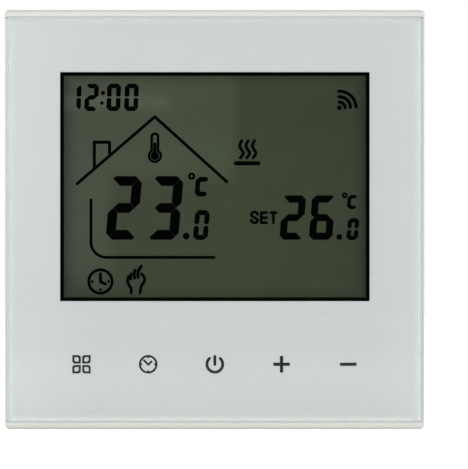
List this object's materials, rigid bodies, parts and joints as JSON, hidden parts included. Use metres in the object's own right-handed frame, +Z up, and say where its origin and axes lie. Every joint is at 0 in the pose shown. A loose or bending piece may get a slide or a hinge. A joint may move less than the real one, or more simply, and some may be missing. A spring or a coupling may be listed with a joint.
{
  "type": "programmable wall timer",
  "caption": "Flush glass programmable timer and room thermostat with a square front, display window, touch keys, pull-off display unit and a back box with rising-clamp terminals.",
  "frame": {"origin": "centre of the square front, on the wall plane", "axes": "+Z up, +X to the right seen from the front, the glass faces -Y and the back box reaches into the wall along +Y"},
  "size_m": [0.086, 0.0399, 0.086],
  "materials": {
    "ivory_plastic": "fine satin moulding",
    "cover_glass": "polished",
    "pale_print": "smooth",
    "black_print": "smooth",
    "black_tape": "soft foam",
    "olive_polariser": "smooth film",
    "display_glass": "polished",
    "tinned_metal": "tin plated",
    "white_plastic": "satin",
    "clear_acrylic": "polished",
    "led_resin": "cast resin",
    "board_green": "solder mask",
    "board_blue": "solder mask",
    "chip_black": "moulded resin",
    "brass": "plated",
    "copper": "enamelled wire",
    "zinc_steel": "zinc plated",
    "box_plastic": "fine texture",
    "ferrite": "sintered",
    "yellow_tape": "polyester tape",
    "relay_blue": "moulded",
    "capacitor_sleeve": "heat-shrunk sleeve",
    "capacitor_yellow": "moulded",
    "varistor_blue": "epoxy dipped",
    "fuse_ceramic": "glazed tube",
    "terminal_green": "moulded"
  },
  "bodies": {
    "base_unit": {"mounting_plate": "zinc_steel", "back_box": "box_plastic", "base_cover": "box_plastic", "base_screws": "zinc_steel", "power_pcb": "board_green", "transformer_core": "ferrite", "transformer_coil": "yellow_tape", "relay_cover": "relay_blue", "relay_base": "chip_black", "relay_coil": "copper", "relay_yoke": "zinc_steel", "relay_contacts": "brass", "smoothing_capacitors": "capacitor_sleeve", "mains_capacitor": "capacitor_yellow", "varistor": "varistor_blue", "fuse": "fuse_ceramic", "header_socket": "chip_black", "terminal_block": "terminal_green", "terminal_strips": "brass"},
    "display_unit": {"front_bezel": "ivory_plastic", "cover_glass": "cover_glass", "print_layer": "pale_print", "window_border": "black_print", "key_symbols": "black_print", "glass_tape": "black_tape", "lcd_front_polariser": "olive_polariser", "lcd_front_glass": "display_glass", "lcd_rear_glass": "display_glass", "lcd_rear_polariser": "olive_polariser", "lcd_pins": "tinned_metal", "lcd_frame": "white_plastic", "light_guide": "clear_acrylic", "reflector_sheet": "white_plastic", "backlight_leds": "led_resin", "display_pcb": "board_green", "display_screws": "zinc_steel", "control_chip": "chip_black", "clock_crystal": "tinned_metal", "backup_cell": "tinned_metal", "wireless_board": "board_blue", "wireless_shield": "tinned_metal", "room_sensor": "chip_black", "touch_springs": "brass", "header_plug": "chip_black", "header_pins": "brass"},
    "relay_rocker": {"relay_armature": "zinc_steel", "contact_spring": "copper"},
    "clamp_1": {"clamp_cage_1": "zinc_steel"},
    "screw_1": {"terminal_screw_1": "zinc_steel"},
    "clamp_2": {"clamp_cage_2": "zinc_steel"},
    "screw_2": {"terminal_screw_2": "zinc_steel"},
    "clamp_3": {"clamp_cage_3": "zinc_steel"},
    "screw_3": {"terminal_screw_3": "zinc_steel"},
    "clamp_4": {"clamp_cage_4": "zinc_steel"},
    "screw_4": {"terminal_screw_4": "zinc_steel"},
    "clamp_5": {"clamp_cage_5": "zinc_steel"},
    "screw_5": {"terminal_screw_5": "zinc_steel"},
    "clamp_6": {"clamp_cage_6": "zinc_steel"},
    "screw_6": {"terminal_screw_6": "zinc_steel"}
  },
  "joints": [
    {"name": "display_pull", "type": "slide", "parent": "base_unit", "child": "display_unit", "axis": [0, -1, 0], "range_m": [0, 0.03]},
    {"name": "relay_rock", "type": "hinge", "parent": "base_unit", "child": "relay_rocker", "pos_m": [-0.019, 0.00125, 0.007], "axis": [0, 0, 1], "range_deg": [0, 3.5]},
    {"name": "screw_turn_1", "type": "hinge", "parent": "base_unit", "child": "screw_1", "pos_m": [-0.0175, 0.02465, -0.0194], "axis": [0, -1, 0], "range_deg": [0, 1440]},
    {"name": "clamp_rise_1", "type": "slide", "parent": "base_unit", "child": "clamp_1", "axis": [0, 1, 0], "range_m": [0, 0.002]},
    {"name": "screw_turn_2", "type": "hinge", "parent": "base_unit", "child": "screw_2", "pos_m": [-0.0105, 0.02465, -0.0194], "axis": [0, -1, 0], "range_deg": [0, 1440]},
    {"name": "clamp_rise_2", "type": "slide", "parent": "base_unit", "child": "clamp_2", "axis": [0, 1, 0], "range_m": [0, 0.002]},
    {"name": "screw_turn_3", "type": "hinge", "parent": "base_unit", "child": "screw_3", "pos_m": [-0.0035, 0.02465, -0.0194], "axis": [0, -1, 0], "range_deg": [0, 1440]},
    {"name": "clamp_rise_3", "type": "slide", "parent": "base_unit", "child": "clamp_3", "axis": [0, 1, 0], "range_m": [0, 0.002]},
    {"name": "screw_turn_4", "type": "hinge", "parent": "base_unit", "child": "screw_4", "pos_m": [0.0035, 0.02465, -0.0194], "axis": [0, -1, 0], "range_deg": [0, 1440]},
    {"name": "clamp_rise_4", "type": "slide", "parent": "base_unit", "child": "clamp_4", "axis": [0, 1, 0], "range_m": [0, 0.002]},
    {"name": "screw_turn_5", "type": "hinge", "parent": "base_unit", "child": "screw_5", "pos_m": [0.0105, 0.02465, -0.0194], "axis": [0, -1, 0], "range_deg": [0, 1440]},
    {"name": "clamp_rise_5", "type": "slide", "parent": "base_unit", "child": "clamp_5", "axis": [0, 1, 0], "range_m": [0, 0.002]},
    {"name": "screw_turn_6", "type": "hinge", "parent": "base_unit", "child": "screw_6", "pos_m": [0.0175, 0.02465, -0.0194], "axis": [0, -1, 0], "range_deg": [0, 1440]},
    {"name": "clamp_rise_6", "type": "slide", "parent": "base_unit", "child": "clamp_6", "axis": [0, 1, 0], "range_m": [0, 0.002]}
  ],
  "couplings": [
    {"joint": "screw_turn_1", "follows": "clamp_rise_1", "rad_per_m": 12566},
    {"joint": "screw_turn_2", "follows": "clamp_rise_2", "rad_per_m": 12566},
    {"joint": "screw_turn_3", "follows": "clamp_rise_3", "rad_per_m": 12566},
    {"joint": "screw_turn_4", "follows": "clamp_rise_4", "rad_per_m": 12566},
    {"joint": "screw_turn_5", "follows": "clamp_rise_5", "rad_per_m": 12566},
    {"joint": "screw_turn_6", "follows": "clamp_rise_6", "rad_per_m": 12566}
  ]
}
